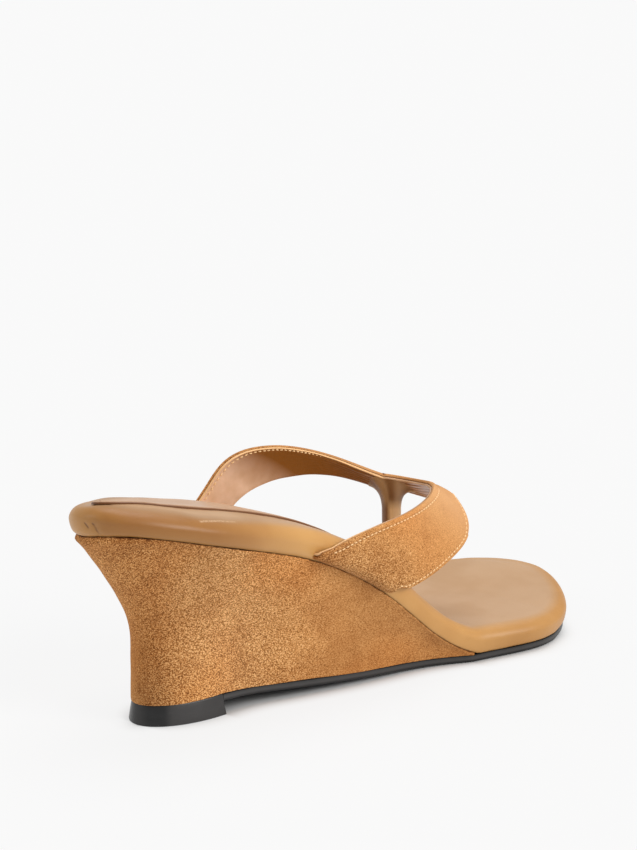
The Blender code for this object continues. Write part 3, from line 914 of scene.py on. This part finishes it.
def make_wedge():
    """The wedge block in its suede cover, tucked in under the footbed."""
    share = stations(0, 1, WEDGE_STATIONS, True, False)
    top_y = WEDGE_LENGTH * share
    foot_y = LIFT_BACK + (WEDGE_LENGTH - LIFT_BACK) * share
    top = inset_pairs(footbed_pairs(top_y), undercut(top_y) - WEDGE_LIP)
    foot = outline_pairs(foot_edge(foot_y, 1), foot_edge(foot_y, -1), foot_y)
    top_heights = seat_height(top[..., 1]) - 0.1 * MM
    foot_heights = tread_top(foot[..., 1]) + 0.1 * MM
    downs = np.concatenate([[0, 0.004, 0.01, 0.018], np.linspace(0.03, 0.98, WEDGE_ROWS), [0.992, 1]])
    rings = []
    for down in downs:
        in_back = min(float(WALL_BACK(down)), 1)
        blend = in_back + (float(WALL_SIDE(down)) - in_back) * share
        pairs = top + (foot - top) * blend[None, :, None]
        rings.append(ring_points(pairs, top_heights + (foot_heights - top_heights) * down))
    points, faces = layered_points(rings, 8)
    drop = ring_points(top, top_heights - foot_heights)[:, 2]
    from_rim = np.concatenate([down * drop / MM for down in downs])
    from_rim = np.concatenate([from_rim, np.zeros(len(points) - len(from_rim))])
    along = across_view(points - ORIGIN)
    low = rising(points[:, 2], 0.055, 0.025)
    # Painted shade: a dark band low at the back corner, a band under the rim and the far right; painted
    # light: a faint pale patch in the middle
    under_rim = np.exp(-from_rim / 14) * rising(along, -22, -7) * rising(along, 30, 10)
    shade = 0.7 * bell(along + 4, 8) * low + 0.6 * under_rim + 0.3 * rising(along, 50, 70)
    smooth = 0.8 * bell(along + 13, 7) * low + 0.75 * rising(along, 28, 63)
    marks = {
        "from_rim": from_rim,
        "smooth": smooth,
        "shade": np.clip(shade, 0, 1),
        "light": 0.1 * bell(along - 22, 14) * low,
    }
    finish = suede_finish("wedge_suede", True)
    piece = make_piece("wedge_cover", points, faces, finish, "wedge", marks)
    rim_height = np.zeros(len(piece.data.vertices))
    piece.data.attributes["from_rim"].data.foreach_get("value", rim_height)

    def relief(places, normals):
        wall = 1 - np.abs(normals[:, 2])**4
        back = rising(places[:, 1], -0.022, -0.038)
        flare = np.exp(-rim_height / 8) * (1 - bell(rim_height, 0.9))
        fold = bell(rim_height - 0.8, 1.0) * RIM_FOLD + flare * back * RIM_FLARE
        tuck = bell(rim_height, 0.35) * 0.25 * MM
        return (uneven(places, WEDGE_WAVES) * rising(rim_height, 0, 6) + fold - tuck) * wall

    press(piece, relief)
    raise_piece(piece, lambda places: heel_settling(places, 0) * rising(rim_height, 26, 0))


def make_top_lift():
    """The rubber tip under the back of the wedge, with softened edges."""
    y = stations(LIFT_BACK, LIFT_FRONT - CLEARANCE, 48, True, False)
    pairs = outline_pairs(lift_edge(y, 1), lift_edge(y, -1), y)
    level = np.zeros((2, len(y)))
    profile = (
        (-0.5, 0.0), (-0.8, 0.06), (-1.0, 0.25), (-1.05, 0.6), (-0.8, 2.4), (-0.4, 5.0),
        (0.0, 7.2), (0.1, 7.5), (0.3, 7.7),
    )
    rings = []
    for inset, up in profile:
        ring = inset_pairs(pairs, inset * MM)
        toward_front = rising(ring[..., 1], LIFT_FRONT - 6 * MM, LIFT_FRONT)
        ring[..., 1] += toward_front**2 * max(0.9 - 0.2 * up, 0) * MM
        rings.append(ring_points(ring, level + up * MM))
    points, faces = layered_points(rings, 8)
    along = across_view(points - ORIGIN)
    # Painted sheen: grey on the faces that catch the light, dark at the corner between back and side
    shine = np.interp(along, (-14, -9, -6, 0, 2.5, 12, 22), (0.2, 0.3, 0, 0, 0.45, 0.5, 0.35))
    finish = rubber_finish("lift_rubber", paint(22, 22, 22), 0.34)
    marks = {"shine": shine}
    make_piece("heel_tip", points, faces, finish, "top_lift", marks, 35)


def make_outsole():
    """The thin sole from the top lift to the toe, flat under the ball."""
    waist_y = stations(LIFT_FRONT, WEDGE_LENGTH, SOLE_STATIONS // 2, False, False)[:-1]
    waist = outline_pairs(foot_edge(waist_y, 1), foot_edge(waist_y, -1), waist_y)
    fore_y = stations(WEDGE_LENGTH, FOOTBED_LENGTH, SOLE_STATIONS, False, True)
    fore = inset_pairs(footbed_pairs(fore_y), OUTSOLE_INSET)
    pairs = np.concatenate([waist, fore], axis=1)
    profile = (
        (0.9, 0.0), (0.45, 0.08), (0.15, 0.3), (0.0, 0.75), (-0.05, 1.4),
        (0.0, 2.2), (0.08, 2.6), (0.3, 2.8),
    )
    rings = []
    for inset, up in profile:
        ring = inset_pairs(pairs, inset * MM)
        rings.append(ring_points(ring, tread_top(pairs[..., 1]) - OUTSOLE_THICKNESS + up * MM))
    points, faces = layered_points(rings, 12)
    # Painted sheen: a grey band along the middle of the sole's side
    marks = {"shine": ring_marks([0, 0, 0, 0.2, 0.7, 0.4, 0, 0], rings, points, (0, 0))}
    finish = rubber_finish("outsole_rubber", paint(16, 16, 16), 0.38)
    make_piece("outsole_sheet", points, faces, finish, "outsole", marks, 35)


# Strap


def arch_at(y):
    """Centre, half width and height of the strap's inner face at y."""
    outer = rim(y, 1) + STRAP_SIDE_CLEARANCE
    inner = rim(y, -1) - STRAP_SIDE_CLEARANCE
    height = STRAP_RISE * STRAP_HEIGHT_CURVE(np.asarray(y) / FOOTBED_LENGTH)
    return (outer + inner) / 2, (outer - inner) / 2, height


def arch_point(girth, y):
    """A point of the strap's inner face, 0 at the inner side to 1 at the outer."""
    centre, half, height = arch_at(y)
    turn = np.pi * (1 - girth)
    across = np.sign(np.cos(turn)) * np.abs(np.cos(turn))**(2 / ARCH_SIDE_POWER)
    up = np.abs(np.sin(turn))**(2 / ARCH_TOP_POWER)
    return np.stack([centre + half * across, y, seat_height(y) + height * up], -1)


def arch_height(x, y):
    """Height of the strap's inner face over a place in plan."""
    centre, half, height = arch_at(y)
    across = np.clip(np.abs((x - centre) / half), 0, 1)
    return seat_height(y) + height * (1 - across**ARCH_SIDE_POWER)**(1 / ARCH_TOP_POWER)


def strap_stations(girth, column):
    """Places along the length from the rear edge (0) to the front edge (1)."""
    rear = FOOTBED_LENGTH * REAR_EDGE(girth)
    front = FOOTBED_LENGTH * FRONT_EDGE(girth)
    return rear + (front - rear) * column


class StrapForm:
    """The strap's face on the last: a grid of places and outward directions."""

    def __init__(self, columns):
        girths = np.linspace(ARCH_START, 1 - ARCH_START, STRAP_ROWS)
        y = np.array([strap_stations(girth, columns) for girth in girths])
        arch = arch_point(girths[:, None], y)
        outward = np.cross(np.gradient(arch, axis=0), np.gradient(arch, axis=1))
        outward /= np.linalg.norm(outward, axis=2, keepdims=True)
        tails = []
        for side, end, arch_y in ((-1, 0.0, y[0]), (1, 1.0, y[-1])):
            end_y = arch_y + (0.75 + 0.2 * columns) * (strap_stations(end, columns) - arch_y)
            tails.append(self.tail_rows(side, end_y, arch_y))
        places, directions = zip(*tails[0], *zip(arch, outward), *tails[1][::-1])
        self.places = np.array(places)
        self.directions = np.array(directions)
        self.levels = np.pad(girths, len(tails[0]), constant_values=(0, 1))
        steps = np.linalg.norm(np.diff(self.places, axis=1), axis=2)
        self.from_rear = np.pad(np.cumsum(steps, axis=1), ((0, 0), (1, 0)))
        self.from_front = self.from_rear[:, -1:] - self.from_rear

    @staticmethod
    def tail_rows(side, end_y, arch_y):
        """Rows from the tail's end, under the footbed, round to the side wall."""
        rows = []
        bend_up = 1.1 * STRAP_WALL + TAIL_RADIUS
        for reach in (TAIL_REACH, TAIL_REACH / 2):
            x = rim(end_y, side) + side * (STRAP_SIDE_CLEARANCE - TAIL_RADIUS - reach)
            place = np.stack([x, end_y, seat_height(end_y) + bend_up - TAIL_RADIUS], -1)
            rows.append((place, np.tile([0.0, 0.0, -1.0], (len(end_y), 1))))
        for turn in np.linspace(0, np.pi / 2, TAIL_TURNS):
            y = end_y + (arch_y - end_y) * 0.16 * (1 - np.cos(turn))
            way = np.array([side * np.sin(turn), 0.0, -np.cos(turn)])
            x = rim(y, side) + side * (STRAP_SIDE_CLEARANCE - TAIL_RADIUS)
            middle = np.stack([x, y, seat_height(y) + bend_up], -1)
            rows.append((middle + TAIL_RADIUS * way, np.tile(way, (len(y), 1))))
        return rows

    def face(self, out):
        """Places of the grid moved out from the last."""
        return self.places + self.directions * np.asarray(out)[..., None]


def edge_columns():
    """Shares of the strap's width, closer together near both edges."""
    even = np.linspace(0, 1, STRAP_COLUMNS)
    return even - 0.11 * np.sin(2 * np.pi * even)


def band(name, inner, outer, bulge, finish, trim, node, marks):
    """A layer of the strap between two faces, with rounded edges."""
    turns = np.linspace(0, np.pi, BAND_EDGE_LOOPS + 2)[1:-1]

    def rounded_edge(first, last, way):
        way = way / np.linalg.norm(way, axis=1, keepdims=True)
        middle = (first + last) / 2
        half = (first - last) / 2
        return [middle + half * np.cos(t) + way * bulge * np.sin(t) for t in turns]

    loops = list(outer.swapaxes(0, 1))
    loops += rounded_edge(outer[:, -1], inner[:, -1], inner[:, -1] - inner[:, -3])
    loops += list(inner.swapaxes(0, 1)[::-1])
    loops += rounded_edge(inner[:, 0], outer[:, 0], inner[:, 0] - inner[:, 2])
    grid = np.stack(loops, axis=1)
    rows, around = grid.shape[:2]
    faces = grid_faces(rows, around)
    faces.append(tuple(range(around)))
    faces.append(tuple((rows - 1) * around + k for k in range(around)))
    wide = outer.shape[1]
    front = slice(wide, wide + BAND_EDGE_LOOPS)
    rear = slice(-BAND_EDGE_LOOPS, None)
    edge = np.zeros((rows, around))
    edge[:, front] = 1
    edge[:, rear] = 1
    edge[:, [0, front.start - 1, front.stop, rear.start - 1]] = 0.6
    all_marks = {"edge": edge * trim[:, None]}
    for label, across in marks.items():
        values = np.zeros((rows, around))
        values[:, :wide] = across
        values[:, front] = across[:, -1:]
        values[:, front.stop:rear.start] = across[:, ::-1]
        values[:, rear] = across[:, :1]
        all_marks[label] = values
    make_piece(name, grid.reshape(-1, 3), faces, finish, node, all_marks, 75)


def suede_thickness(form):
    """How far the suede's face stands out from the last, over the grid."""
    rear = form.from_rear / MM
    front = form.from_front / MM
    lift = 0.22 * rising(rear, 0, 6) * rising(front, 0, 5)
    skive = 0.35 * bell(rear, 0.9) + 0.35 * bell(front, 0.9)
    channel = 0.3 * bell(rear - REAR_STITCH_INSET / MM, 0.75)
    channel += 0.26 * bell(front - FRONT_STITCH_INSET / MM, 0.6)
    waved = uneven(form.places, STRAP_WAVES) * rising(rear, 0, 3)
    return STRAP_WALL + (lift - skive - channel) * MM + waved


def make_strap():
    """The suede layer, the lining layer and their thread."""
    form = StrapForm(edge_columns())
    rear = form.from_rear / MM
    front = form.from_front / MM
    girth = form.levels[:, None]
    trim = np.where(form.levels < 0.42, 1.0, 0.3 + 0.7 * rising(form.levels, 0.86, 0.92))
    suede_face = suede_thickness(form)
    outer = form.face(suede_face)
    inner = form.face(np.full(rear.shape, SUEDE_START))
    # Painted shade at the outer end, on the inner shoulder and along the rear stitch channel; painted
    # light on the outer shoulder and near the top
    shade = 0.3 * bell(girth - 1.0, 0.09) + 0.35 * bell(girth - 0.3, 0.14)
    marks = {
        "smooth": np.interp(girth, (0.2, 0.32, 0.7, 0.8, 0.9, 1.0), (0.5, 1.0, 0.97, 0.88, 0.6, 0.15)),
        "light": np.clip(0.75 * bell(girth - 0.66, 0.11) + 0.5 * bell(girth - 0.42, 0.1), 0, 1),
        "shade": np.clip(shade + 0.6 * bell(rear - REAR_STITCH_INSET / MM, 0.5), 0, 1),
    }
    suede = suede_finish("strap_suede", False)
    band("strap_suede", inner, outer, 0.2 * MM, suede, trim, "strap", marks)

    near_post = bell(girth - 0.46, 0.11)
    creases = np.sin(rear * 2.1 + 9 * girth + 1.3 * np.sin(form.places[..., 0] * 400))
    creases += 0.7 * np.sin(rear * 3.7 - 14 * girth)
    creased = 0.128 * near_post * creases * rising(rear, 0, 2.5) * rising(front, 0, 2.5)
    fold = 0.2 * bell(rear, 1.0) + 0.15 * bell(front, 1.0)
    channel = 0.22 * bell(rear - LINING_STITCH_INSET / MM, 0.6)
    lining_face = (0.1 + creased + fold + channel) * MM + uneven(form.places, LINING_WAVES)
    inner = form.face(lining_face)
    outer = form.face(np.full(rear.shape, LINING_THICKNESS))
    # Painted shade: darker over most of the arch's inside, less past its top, and in the creases by the
    # post
    dark = rising(girth, 0.13, 0.23) * (1 - 0.45 * rising(girth, 0.36, 0.48))
    marks = {"deep": np.clip(dark + 0.32 * near_post * creases, 0, 1)}
    lining = lining_finish("lining_leather")
    band("strap_lining", inner, outer, 0.3 * MM, lining, trim, None, marks)

    thread = thread_finish()
    turned_away = 0.5 * MM * bell(girth - 0.55, 0.09)
    past_the_bend = 0.5 * MM * rising(girth, 0.3, 0.33)
    for name, distance, inset, out, side in (
        ("thread_rear_edge", rear, REAR_STITCH_INSET, suede_face - turned_away, 1),
        ("thread_front_edge", front, FRONT_STITCH_INSET, suede_face, 1),
        ("thread_lining_edge", rear, LINING_STITCH_INSET, lining_face + past_the_bend, -1),
    ):
        sew(name, *grid_line(form, distance, inset / MM, out), side, thread)


def grid_line(form, distance, inset, out):
    """Places and directions along the line that lies at an inset from an edge."""
    face = form.face(out)
    points = []
    ways = []
    for i in range(TAIL_TURNS + 1, len(face) - TAIL_TURNS - 1):
        order = np.argsort(distance[i])
        column = np.interp(inset, distance[i][order], order.astype(float))
        low = int(np.clip(np.floor(column), 0, face.shape[1] - 2))
        share = column - low
        points.append(face[i, low] * (1 - share) + face[i, low + 1] * share)
        ways.append(form.directions[i, low])
    return np.array(points), np.array(ways)


def sew(name, line, ways, side, finish):
    """A row of stitches along a line; each dips into the surface at its ends."""
    steps = np.linalg.norm(np.diff(line, axis=0), axis=1)
    reach = np.concatenate([[0], np.cumsum(steps)])
    draw = np.random.default_rng(len(name))
    sides = 7
    shares = np.array([-0.5, -0.36, -0.14, 0.14, 0.36, 0.5])
    points = []
    faces = []
    middle = STITCH_PITCH
    while middle < reach[-1] - STITCH_PITCH:
        places = middle + shares * STITCH_LENGTH
        centres = np.stack([np.interp(places, reach, line[:, k]) for k in range(3)], -1)
        out = np.array([np.interp(middle, reach, ways[:, k]) for k in range(3)]) * side
        out /= np.linalg.norm(out)
        tangent = centres[-1] - centres[0]
        tangent /= np.linalg.norm(tangent)
        across = np.cross(tangent, out)
        across /= np.linalg.norm(across)
        lean = draw.uniform(-0.1, 0.1) * MM
        base = len(points) * sides
        for share, centre in zip(shares, centres):
            rise = THREAD_RADIUS * (0.55 - 1.9 * (2 * share)**4)
            radius = THREAD_RADIUS * (1 - 0.35 * (2 * share)**6)
            turns = np.linspace(0, 2 * np.pi, sides, endpoint=False)[:, None]
            ring = centre + out * rise + across * lean * 2 * share
            points.append(ring + radius * (np.cos(turns) * across + np.sin(turns) * out))
        faces += grid_faces(len(shares), sides, base=base)
        faces.append(tuple(base + k for k in range(sides)))
        faces.append(tuple(base + (len(shares) - 1) * sides + k for k in range(sides)))
        middle += STITCH_PITCH
    make_piece(name, np.vstack(points), faces, finish)


def make_toe_post():
    """The rolled post: a lapped seam up its side and pleats in its flare."""
    base = np.array([POST_FROM_MIDDLE, POST_FROM_HEEL])
    top = base + np.array([POST_LEAN_OUT, -POST_LEAN_BACK])
    bed = bed_height(base[1])
    radius = POST_DIAMETER / 2
    spread = POST_FLARE_WIDTH / 2 - radius
    turns = np.linspace(0, 2 * np.pi, POST_SIDES, endpoint=False)
    circle = np.stack([np.cos(turns), np.sin(turns)], -1)
    seam = np.radians(-52)
    from_seam = np.mod(turns - seam, 2 * np.pi) / (2 * np.pi)
    lap = 0.35 * MM * (0.5 - from_seam) - 0.25 * MM * bell(np.minimum(from_seam, 1 - from_seam), 0.025)
    under = arch_height(top[0], top[1])
    flare_start = under - POST_FLARE_HEIGHT
    band_way = STRAP_WAY_AT_POST
    cross_way = np.array([band_way[1], -band_way[0]])
    # Painted shade: the half of the post on the camera's left, its foot, and its flare under the strap,
    # striped along the pleats
    shaded = np.clip((0.5 - np.abs(from_seam - 0.5)) * 14, 0, 1) * (from_seam > 0.5)
    rings = []
    deep = []
    for share in np.linspace(-0.06, 1, POST_ROWS):
        middle = base + (top - base) * share
        height = bed + (flare_start - bed) * share
        swell = radius + lap + 0.25 * MM * bell(share, 0.12)
        rings.append(np.column_stack([middle + swell[:, None] * circle, np.full(POST_SIDES, height)]))
        deep.append(np.clip(shaded + 0.25 * bell(share, 0.1), 0, 1))
    for share in np.linspace(0, 1, 14)[1:]:
        flare = spread * float(FLARE_CURVE(share))
        pleats = 1 + 0.05 * share * np.cos(5 * turns + 0.8)
        along = circle @ band_way * (radius + lap + flare * 1.9) * pleats
        across = circle @ cross_way * (radius + lap + flare * 0.3) * pleats
        plan = top + along[:, None] * band_way + across[:, None] * cross_way
        roof = arch_height(plan[:, 0], plan[:, 1]) + 0.25 * MM
        height = flare_start + (roof - flare_start) * (1 - (1 - share)**1.15)
        rings.append(np.column_stack([plan, height]))
        fade = np.clip(share * 3, 0, 1)
        deep.append(np.clip(shaded * (1 - fade) + (0.85 + 0.15 * np.cos(5 * turns + 3.9)) * fade, 0, 1))
    points = np.vstack(rings + [[[*base, bed - 1 * MM]], [[*top, under + 0.3 * MM]]])
    deep = np.concatenate(deep + [[0.0], [0.0]])
    faces = grid_faces(len(rings), POST_SIDES)
    last = (len(rings) - 1) * POST_SIDES
    for i in range(POST_SIDES):
        j = (i + 1) % POST_SIDES
        faces.append((i, j, len(points) - 2))
        faces.append((last + i, last + j, len(points) - 1))
    marks = {"deep": deep, "rolled": np.zeros(len(points))}
    finish = leather_finish("post_leather", POST_COLOURS, 0.4)
    make_piece("post_leather", points, faces, finish, "toe_post", marks)


# Studio


def make_floor():
    """A pale floor that glows evenly, takes a soft shadow around the sole and is darkened under it with
    painted shadow.
    """
    fine_x = np.arange(-0.09, 0.1, 1.5 * MM)
    fine_y = np.arange(-0.07, 0.23, 1.5 * MM)
    x = np.concatenate([[-FLOOR_EDGE, -0.4], fine_x, [0.4, FLOOR_EDGE]])
    y = np.concatenate([[-FLOOR_EDGE, -0.4], fine_y, [0.5, FLOOR_EDGE]])
    grid = np.stack(np.meshgrid(x, y, indexing="ij"), -1)
    places = grid.reshape(-1, 2) + ORIGIN[:2]
    station = np.clip(places[:, 1], LIFT_BACK, FOOTBED_LENGTH - 1 * MM)
    outer, inner = [
        np.where(station < WEDGE_LENGTH, foot_edge(station, side), rim(station, side))
        for side in (1, -1)
    ]
    beside = np.maximum(places[:, 0] - outer, inner - places[:, 0])
    apart = np.hypot(np.maximum(beside, 0), places[:, 1] - station)
    apart = np.where(apart > 0, apart, beside)
    toe_lift = rising(station / FOOTBED_LENGTH, 0.8, 0.97)
    near = rising(apart + 4 * MM * toe_lift, FLOOR_SHADOW_REACH, 0)
    contact = near**2 * (1 - 0.6 * toe_lift) * np.where(station < LIFT_FRONT, 0.5, 1)
    # Where the painted shadow under the sole lies
    under = rising(apart, -1 * MM, -6 * MM) * (1 - 0.5 * toe_lift)
    points = np.pad(grid.reshape(-1, 2), ((0, 0), (0, 1)), constant_values=-0.1 * MM)
    faces = [face[::-1] for face in grid_faces(len(x), len(y), False)]
    constants = {"Roughness": 1.0, "Specular IOR Level": 0.0, "Emission Strength": 1.0}
    finish = Finish("studio_floor", constants)
    share = finish.mark("contact")
    black = grey(0.0)
    base = finish.mix(share, grey(FLOOR_FAR_SHARE * FLOOR_ALBEDO), grey(FLOOR_ALBEDO))
    # Painted shadow: the floor is darkened towards black under the sole
    finish.feed("Base Color", finish.mix(finish.mark("under") * 0.45, base, black))
    glow = grey(BACKDROP * (1 - FLOOR_FAR_SHARE))
    finish.feed("Emission Color", finish.mix(share, glow, black))
    marks = {"contact": contact, "under": under}
    make_mesh("studio_floor", points, faces, finish.material, marks)


def make_light(name, way, strength, angle, colour):
    """A distant soft light that shines from the given direction."""
    data = bpy.data.lights.new(name, "SUN")
    data.energy = strength
    data.angle = np.radians(angle)
    data.color = colour
    light = add_object(name, data)
    aim = -np.array(way) / np.linalg.norm(way)
    light.rotation_euler = (np.arccos(-aim[2]), 0, np.arctan2(-aim[0], aim[1]))


def make_studio():
    """Pale surroundings, soft lights and the camera."""
    scene = bpy.context.scene
    scene.view_settings.view_transform = "Standard"
    world = bpy.data.worlds.new("studio")
    world.use_nodes = True
    background = world.node_tree.nodes["Background"]
    background.inputs["Color"].default_value = grey(1.0)
    background.inputs["Strength"].default_value = WORLD_LIGHT
    scene.world = world
    for light in LIGHTS:
        make_light(*light)
    data = bpy.data.cameras.new("camera")
    data.sensor_width = 36
    data.lens = CAMERA_LENS
    data.clip_start = 0.05
    data.clip_end = 60
    camera = add_object("camera", data)
    camera.location = CAMERA_PLACE
    camera.rotation_euler = (np.radians(CAMERA_TILT), 0, np.radians(CAMERA_TURN))
    scene.camera = camera


make_outsole()
make_top_lift()
make_wedge()
make_footbed()
make_sock()
make_strap()
make_toe_post()
make_floor()
make_studio()
